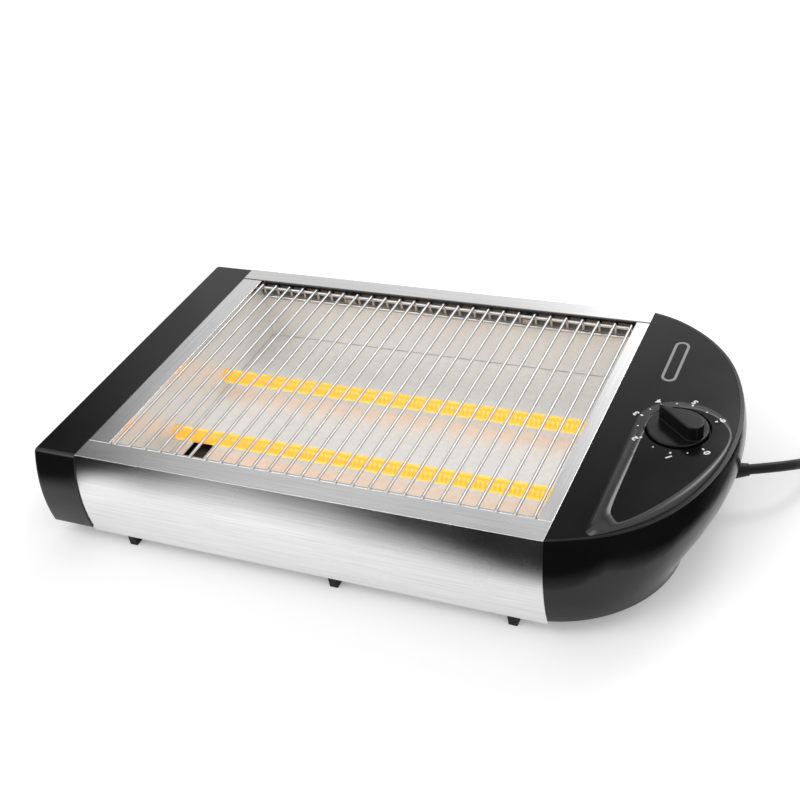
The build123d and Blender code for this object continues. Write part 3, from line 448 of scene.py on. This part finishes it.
def wind_element(name, tube):
    """Wire that runs straight into the tube, winds along it and leaves straight again."""
    low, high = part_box(name)
    tube_low, tube_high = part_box(tube)
    y, z = (low.y + high.y) / 2, (low.z + high.z) / 2
    start, end = tube_low.x + element_margin, tube_high.x - element_margin
    line = [(low.x, y, z), (tube_low.x, y, z)]
    count = int((end - start) / element_pitch * element_points)
    for k in range(count + 1):
        angle = 2 * pi * k / element_points
        x = start + (end - start) * k / count
        line.append((x, y + element_radius * sin(angle), z + element_radius * cos(angle)))
    line += [(tube_high.x, y, z), (high.x, y, z)]
    curve = bpy.data.curves.new(name + "_coil", "CURVE")
    curve.dimensions = "3D"
    spline = curve.splines.new("POLY")
    spline.points.add(len(line) - 1)
    for point, place in zip(spline.points, line):
        point.co = (*place, 1)
    curve.bevel_depth = element_wire
    curve.bevel_resolution = 2
    curve.materials.append(materials["element"])
    piece = link(bpy.data.objects.new(name + "_coil", curve))
    piece.visible_diffuse = False
    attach(piece, "housing")
    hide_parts(name)


for side in ("front", "rear"):
    wind_element(side + "_heating_element", side + "_quartz_tube")
    nodes[side + "_quartz_tube"].visible_diffuse = False


# Hollow of the control cover: a bevel between two leaf outlines, round the knob's well
rim_reach = 77.5 * MM
rim_lead, rim_joint = radians(14), radians(24)
hollow_tilt_y, hollow_tilt_x = radians(0.96), radians(-0.49)
hollow_depth = 0.7 * MM
lining_rise = 0.03 * MM
lining_wall = 0.3 * MM
leaf_bow = 0.6 * MM
hollow_end = -3 * MM
well_radius = 19.4 * MM
well_depth = 2.2 * MM
well_steps = 96
crease_angle = radians(5)
leaf_steps = 32
corner_ease = 6
rim_leaf = {
    "side": 24.5 * MM, "ring": 24.5 * MM, "front": 13.7 * MM - half_depth,
    "tip": 11.2 * MM - half_depth, "edge": 1.9 * MM, "end_edge": 1.9 * MM,
}
floor_leaf = {
    "side": 17.8 * MM, "ring": 20 * MM, "front": 36 * MM - half_depth,
    "tip": 27 * MM - half_depth, "edge": 8.6 * MM, "end_edge": 2.8 * MM,
}


def rim_arcs():
    """Radius and centre of the corner arc, then of the nose arc, of the cover's D."""
    start = pi / 2 - rim_lead
    a, b = sin(rim_joint) - sin(start), -sin(rim_joint)
    c, d = cos(rim_joint) - cos(start), 1 - cos(rim_joint)
    corner = (-half_depth * d - rim_reach * b) / (a * d - b * c)
    nose = (a * rim_reach + half_depth * c) / (a * d - b * c)
    return corner, Vector((-corner * cos(start), half_depth - corner * sin(start))), nose


def rim_x(y, inset):
    """How far the D, drawn in by inset, reaches out from the dial at depth y."""
    corner, corner_place, nose = rim_arcs()
    if abs(y) < (nose - inset) * sin(rim_joint):
        return rim_reach - nose + sqrt((nose - inset) ** 2 - y**2) - dial_reach
    aside = abs(y) - corner_place.y
    return corner_place.x + sqrt((corner - inset) ** 2 - aside**2) - dial_reach


def arc_through(a, b, c):
    """Points along the arc from a through b up to but not including c."""
    a, b, c = Vector(a), Vector(b), Vector(c)
    d = 2 * (a.x * (b.y - c.y) + b.x * (c.y - a.y) + c.x * (a.y - b.y))
    sa, sb, sc = a.length_squared, b.length_squared, c.length_squared
    middle = Vector((
        (sa * (b.y - c.y) + sb * (c.y - a.y) + sc * (a.y - b.y)) / d,
        (sa * (c.x - b.x) + sb * (a.x - c.x) + sc * (b.x - a.x)) / d,
    ))
    turn = (b - middle).angle_signed(a - middle) + (c - middle).angle_signed(b - middle)
    step = turn / leaf_steps
    return [middle + Matrix.Rotation(step * k, 2) @ (a - middle) for k in range(leaf_steps)]


def leaf(side, ring, front, tip, edge, end_edge):
    """Leaf outline in the dial's plane, from the front left clockwise round the dial."""
    far_end = (rim_x(hollow_end, end_edge), hollow_end)
    tip_end = (rim_x(tip, edge), tip)
    half_way = (tip + hollow_end) / 2
    slant = sqrt(0.5)
    points = [Vector((-side, front * (1 - k / leaf_steps))) for k in range(leaf_steps)]
    points += arc_through((-side, 0), (-side * slant, ring * slant), (0, ring))
    points += arc_through((0, ring), (far_end[0] * slant, ring * slant), far_end)
    points += arc_through(far_end, (rim_x(half_way, edge), half_way), tip_end)
    bowed = ((tip_end[0] - side) / 2 - leaf_bow, (tip + front) / 2 - leaf_bow)
    points += arc_through(tip_end, bowed, (-side, front))
    return points


def eased(points):
    """The outline with each point drawn to its neighbours' middle, so corners round off."""
    nearby = range(-corner_ease, corner_ease + 1)
    rounded = []
    for k in range(len(points)):
        total = Vector((0, 0))
        for j in nearby:
            total += points[(k + j) % len(points)]
        rounded.append(total / len(nearby))
    return rounded


def line_scoop():
    """Lining over the hollow of the cover. Returns the cover with its lining, as a tree."""
    out, axis = dial_turn @ Vector((1, 0, 0)), dial_turn @ Vector((0, 0, 1))
    mesh = bmesh.new()

    def on_rim(point):
        return dial_place + out * point.x + Vector((0, point.y, 0)) + axis * lining_rise

    def on_floor(point):
        rise = point.y * tan(hollow_tilt_y) - point.x * tan(hollow_tilt_x) - hollow_depth
        return dial_place + out * point.x + Vector((0, point.y, 0)) + axis * rise

    def ring_of(points, place):
        return [mesh.verts.new(place(point)) for point in points]

    def band(upper, lower):
        for k, (a, b) in enumerate(zip(upper, lower)):
            after = (k + 1) % len(upper)
            mesh.faces.new((a, b, lower[after], upper[after]))

    turns = [2 * pi * k / well_steps for k in range(well_steps)]
    circle = [Vector((cos(turn), -sin(turn))) * well_radius for turn in turns]
    rim = ring_of(leaf(**rim_leaf), on_rim)
    floor = ring_of(eased(leaf(**floor_leaf)), on_floor)
    well = ring_of(circle, on_floor)
    foot = ring_of(circle, lambda point: on_floor(point) - axis * well_depth)
    band(rim, floor)
    band(well, foot)
    edges = [
        mesh.edges.get((a, b)) for loop in (floor, well) for a, b in zip(loop, loop[1:] + loop[:1])
    ]
    bmesh.ops.triangle_fill(mesh, use_beauty=True, edges=edges, normal=axis)
    bmesh.ops.recalc_face_normals(mesh, faces=mesh.faces)
    if sum(face.normal.dot(axis) * face.calc_area() for face in mesh.faces) < 0:
        bmesh.ops.reverse_faces(mesh, faces=mesh.faces)
    for face in mesh.faces:
        face.smooth = True
    data = bpy.data.meshes.new("scoop_lining")
    mesh.to_mesh(data)
    data.set_sharp_from_angle(angle=crease_angle)
    data.materials.append(materials["cover"])
    # The bevel band takes the lighter copy of the cover plastic, which is a painted highlight.
    data.materials.append(materials["bevel"])
    for polygon in data.polygons[:len(rim)]:
        polygon.material_index = 1
    piece = link(bpy.data.objects.new("scoop_lining", data))
    skin = piece.modifiers.new("wall", "SOLIDIFY")
    skin.thickness = lining_wall
    skin.offset = -1
    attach(piece, "housing")
    mesh.from_mesh(nodes["control_cover"].data)
    tree = BVHTree.FromBMesh(mesh)
    mesh.free()
    return tree


cover_tree = line_scoop()


# Dial print: white figures around the knob, with a mark at each and between each two
figure_height = 5.4 * MM
figure_weight = 0.2 * MM
figure_turn = radians(60)
print_height = 0.06 * MM
mark_radius = 22.4 * MM
figure_radius = 26.8 * MM
long_mark = (1.6 * MM, 1.1 * MM)
short_mark = (1.0 * MM, 0.8 * MM)
dial_angles = {"0": 321, "1": 273, "2": 219, "3": 168, "4": 128.5, "5": 82, "6": 32}


def on_cover(x, y):
    """Point on the control cover or its lining under (x, y), and the normal there."""
    above = Vector((x, y, top + ray_height))
    place, normal = cover_tree.ray_cast(above, Vector((0, 0, -1)))[:2]
    return place, normal if normal.z > 0 else -normal


def dial_spot(angle, radius):
    return on_cover(dial_place.x + radius * cos(radians(angle)), radius * sin(radians(angle)))


def print_figure(text, angle):
    curve = bpy.data.curves.new("figure_" + text, "FONT")
    curve.body = text
    curve.size = figure_height
    curve.align_x = "CENTER"
    curve.align_y = "CENTER"
    curve.extrude = print_height
    curve.offset = figure_weight
    curve.materials.append(materials["print"])
    piece = link(bpy.data.objects.new("figure_" + text, curve))
    place, normal = dial_spot(angle, figure_radius)
    lean = normal.to_track_quat("Z", "Y").to_matrix().to_4x4()
    upright = Matrix.Rotation(figure_turn, 4, "Z")
    piece.matrix_world = Matrix.Translation(place) @ lean @ upright
    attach(piece, "housing")


def print_marks():
    """Short radial strokes at each figure and halfway between the figures."""
    angles = sorted(dial_angles.values())
    between = [(a + b) / 2 for a, b in zip(angles, angles[1:])]
    mesh = bmesh.new()
    marks = [(angle, *long_mark) for angle in angles] + [(angle, *short_mark) for angle in between]
    for angle, reach, breadth in marks:
        out = Vector((cos(radians(angle)), sin(radians(angle)), 0))
        side = Vector((-out.y, out.x, 0)) * breadth / 2
        corners = []
        for along, across in ((0, -1), (1, -1), (1, 1), (0, 1)):
            spot = dial_place + out * (mark_radius + reach * along) + side * across
            place, normal = on_cover(spot.x, spot.y)
            corners.append(mesh.verts.new(place + normal * print_height))
        mesh.faces.new(corners)
    data = bpy.data.meshes.new("dial_marks")
    mesh.to_mesh(data)
    mesh.free()
    data.materials.append(materials["print"])
    piece = link(bpy.data.objects.new("dial_marks", data))
    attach(piece, "housing")


for text, angle in dial_angles.items():
    print_figure(text, angle)
print_marks()


# Bare name plate: a pale rounded outline on the cover, with nothing on it
plate_place = Vector((steel_right + 26.5 * MM, 64 * MM, 0))
plate_length = 44 * MM
plate_width = 9.5 * MM
plate_line = 1.7 * MM
plate_rise = 0.3 * MM
plate_outer_slope, plate_inner_slope = 0.15 * MM, 0.1 * MM
corner_steps = 8


def rounded_slot(length, width):
    """Points around a slot with round ends that lies along Y."""
    radius = width / 2
    points = []
    for end in (1, -1):
        for k in range(corner_steps + 1):
            angle = (0 if end > 0 else pi) + pi * k / corner_steps
            points.append((radius * cos(angle), end * (length / 2 - radius) + radius * sin(angle)))
    return points


def build_name_plate():
    mesh = bmesh.new()
    loops = []
    for margin, rise in (
        (0, 0),
        (plate_outer_slope, plate_rise),
        (plate_line, plate_rise),
        (plate_line + plate_inner_slope, 0),
    ):
        loop = []
        for x, y in rounded_slot(plate_length - 2 * margin, plate_width - 2 * margin):
            place, normal = on_cover(plate_place.x + x, plate_place.y + y)
            loop.append(mesh.verts.new(place + normal * rise))
        loops.append(loop)
    for inner, outer in zip(loops[1:], loops):
        count = len(outer)
        for k in range(count):
            after = (k + 1) % count
            mesh.faces.new((outer[k], outer[after], inner[after], inner[k]))
    data = bpy.data.meshes.new("name_plate")
    mesh.to_mesh(data)
    mesh.free()
    data.materials.append(materials["plate"])
    piece = link(bpy.data.objects.new("name_plate", data))
    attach(piece, "housing")


build_name_plate()


def background_rays(tree):
    """One for rays that show the background, from the camera or through gloss and glass."""
    path = tree.nodes.new("ShaderNodeLightPath")
    shown = path.outputs["Is Camera Ray"]
    for kind in ("Is Glossy Ray", "Is Transmission Ray"):
        either = tree.nodes.new("ShaderNodeMath")
        either.operation = "MAXIMUM"
        tree.links.new(shown, either.inputs[0])
        tree.links.new(path.outputs[kind], either.inputs[1])
        shown = either.outputs["Value"]
    return shown


# Studio: an even white world, a floor that keeps the shadow, dark cards and soft lamps
world_fill = 0.66
floor_reach = 6.0
floor_glow = 0.2
card_colour = grey(0.05)


def build_world():
    world = bpy.data.worlds.new("studio")
    bpy.context.scene.world = world
    world.use_nodes = True
    tree = world.node_tree
    strength = tree.nodes.new("ShaderNodeMapRange")
    strength.inputs["To Min"].default_value = world_fill
    strength.inputs["To Max"].default_value = 1
    background = tree.nodes["Background"]
    background.inputs["Color"].default_value = (1, 1, 1, 1)
    tree.links.new(background_rays(tree), strength.inputs["Value"])
    tree.links.new(strength.outputs["Result"], background.inputs["Strength"])


def build_floor():
    mesh = bpy.data.meshes.new("studio_floor")
    sides = ((-1, -1), (1, -1), (1, 1), (-1, 1))
    corners = [(x * floor_reach, y * floor_reach, 0) for x, y in sides]
    mesh.from_pydata(corners, [], [(0, 1, 2, 3)])
    material = new_material("studio_white", grey(0.98), 0.9, Emission_Color=(1, 1, 1, 1))
    tree = material.node_tree
    extra = tree.nodes.new("ShaderNodeMapRange")
    extra.inputs["To Max"].default_value = floor_glow
    tree.links.new(background_rays(tree), extra.inputs["Value"])
    tree.links.new(extra.outputs["Result"], shader_input(material, "Emission Strength"))
    mesh.materials.append(material)
    link(bpy.data.objects.new("studio_floor", mesh))


def build_card(name, columns, upper):
    """Dark card that only gloss shows: clear at each column's first height and dark from
    its second up. Columns are (x, y, clear height, dark height, darkness), in mm."""
    mesh = bmesh.new()
    shade = mesh.verts.layers.float.new("shade")
    rows = []
    for x, y, clear_height, dark_height, darkness in columns:
        row = []
        for z, value in ((clear_height, 0), (dark_height, darkness), (upper, darkness)):
            vertex = mesh.verts.new(Vector((x, y, z)) * MM)
            vertex[shade] = value
            row.append(vertex)
        rows.append(row)
    for left, right in zip(rows, rows[1:]):
        for k in (0, 1):
            mesh.faces.new((left[k], right[k], right[k + 1], left[k + 1]))
    data = bpy.data.meshes.new(name)
    mesh.to_mesh(data)
    mesh.free()
    material = bpy.data.materials.new(name)
    material.use_nodes = True
    tree = material.node_tree
    tree.nodes.clear()
    clear = tree.nodes.new("ShaderNodeBsdfTransparent")
    black = tree.nodes.new("ShaderNodeBsdfDiffuse")
    black.inputs["Color"].default_value = card_colour
    amount = tree.nodes.new("ShaderNodeAttribute")
    amount.attribute_name = "shade"
    mix = tree.nodes.new("ShaderNodeMixShader")
    output = tree.nodes.new("ShaderNodeOutputMaterial")
    tree.links.new(amount.outputs["Fac"], mix.inputs[0])
    tree.links.new(clear.outputs[0], mix.inputs[1])
    tree.links.new(black.outputs[0], mix.inputs[2])
    tree.links.new(mix.outputs[0], output.inputs["Surface"])
    data.materials.append(material)
    card = link(bpy.data.objects.new(name, data))
    card.visible_camera = False
    card.visible_diffuse = False
    card.visible_shadow = False
    card.visible_transmission = False


def build_lamps():
    """Soft square lamps, all aimed at the middle of the toaster's foot."""
    for name, place, size, power in (
        ("key_lamp", (-0.9, -1.1, 1.7), 1.2, 10),
        ("fill_lamp", (1.4, -0.6, 1.2), 1.0, 4),
        ("back_lamp", (0.2, 1.6, 1.3), 1.4, 5),
        ("edge_lamp", (0.35, 1.1, 1.1), 0.5, 4),
    ):
        lamp = bpy.data.lights.new(name, "AREA")
        lamp.size = size
        lamp.energy = power
        holder = link(bpy.data.objects.new(name, lamp))
        holder.location = place
        holder.rotation_euler = (-Vector(place)).to_track_quat("-Z", "Y").to_euler()


def place_camera():
    camera = bpy.data.cameras.new("photo_view")
    camera.lens = camera_lens
    camera.sensor_width = camera_sensor
    holder = link(bpy.data.objects.new("photo_view", camera))
    back = Vector((
        sin(camera_azimuth) * cos(camera_elevation),
        -cos(camera_azimuth) * cos(camera_elevation),
        sin(camera_elevation),
    ))
    right = Vector((cos(camera_azimuth), sin(camera_azimuth), 0))
    up = back.cross(right)
    rolled_right = right * cos(camera_roll) + up * sin(camera_roll)
    rolled_up = up * cos(camera_roll) - right * sin(camera_roll)
    turn = Matrix((rolled_right, rolled_up, back)).transposed().to_4x4()
    holder.matrix_world = Matrix.Translation(camera_place) @ turn
    bpy.context.scene.camera = holder


build_world()
build_floor()
build_card("front_card", (
    (-600, -176, 3, 28, 1),
    (-250, -176, 5, 30, 1),
    (-224, -176, 8, 35, 1),
    (-215, -176, 28, 50, 1),
    (-160, -176, 22, 65, 1),
    (-95, -176, 22, 88, 1),
    (-30, -176, 12, 78, 1),
    (36, -176, 0, 52, 1),
    (101, -176, -10, 26, 1),
    (235, -176, -10, 20, 1),
    (235, -100, -10, 20, 1),
    (235, -40, -5, 20, 1),
    (235, 20, 0, 26, 0.8),
    (235, 80, 10, 35, 0),
), 96)
build_card("side_card", (
    (-2600, 900, 0, 40, 0.95),
    (-1290, 900, 0, 40, 0.95),
    (-1190, 900, 0, 40, 0.85),
    (-980, 900, 0, 40, 0.5),
    (-800, 900, 100, 900, 0.3),
    (-450, 900, 400, 950, 0.5),
    (-200, 900, 500, 1000, 0.8),
    (80, 900, 500, 1000, 0.8),
    (240, 900, 500, 1000, 0),
), 1700)
build_lamps()
place_camera()
bpy.context.scene.view_settings.view_transform = "Standard"
